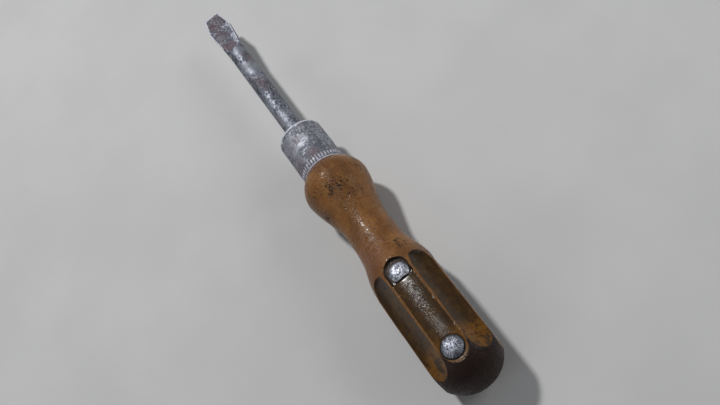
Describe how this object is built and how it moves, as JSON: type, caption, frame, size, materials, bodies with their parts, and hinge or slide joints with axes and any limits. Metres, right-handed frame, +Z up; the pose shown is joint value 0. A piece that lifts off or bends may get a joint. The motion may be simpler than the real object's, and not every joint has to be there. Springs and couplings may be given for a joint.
{
  "type": "slotted screwdriver",
  "caption": "Old flat-tip screwdriver: round steel blade with a keystone tip, crimped steel ferrule, and a turned, fluted wooden handle riveted through its tang.",
  "frame": {"origin": "under the middle of the tool's length, on the surface that the handle's bulb rests on, with the tool's axis level above it", "axes": "+X along the tool from tip to butt, +Z up, out of the rivet heads and square to the blade's flats, +Y across the tool"},
  "size_m": [0.2242, 0.0276, 0.028],
  "materials": {
    "blade_steel": "old forged and ground steel, grey with purple-brown rust patches, scratched, bright at the edges",
    "ferrule_steel": "drawn steel, dulled and pitted, with scratches and a bright worn front rim",
    "varnished_wood": "turned hardwood under amber varnish, dirt-dark in the flutes and at the butt, worn light along the ridges",
    "rivet_steel": "bright steel heads polished by the hand, with fine scratches"
  },
  "bodies": {
    "root": {"blade": "blade_steel", "ferrule": "ferrule_steel", "handle": "varnished_wood", "front_rivet": "rivet_steel", "rear_rivet": "rivet_steel", "front_rivet_burr": "rivet_steel", "rear_rivet_burr": "rivet_steel"}
  },
  "joints": []
}
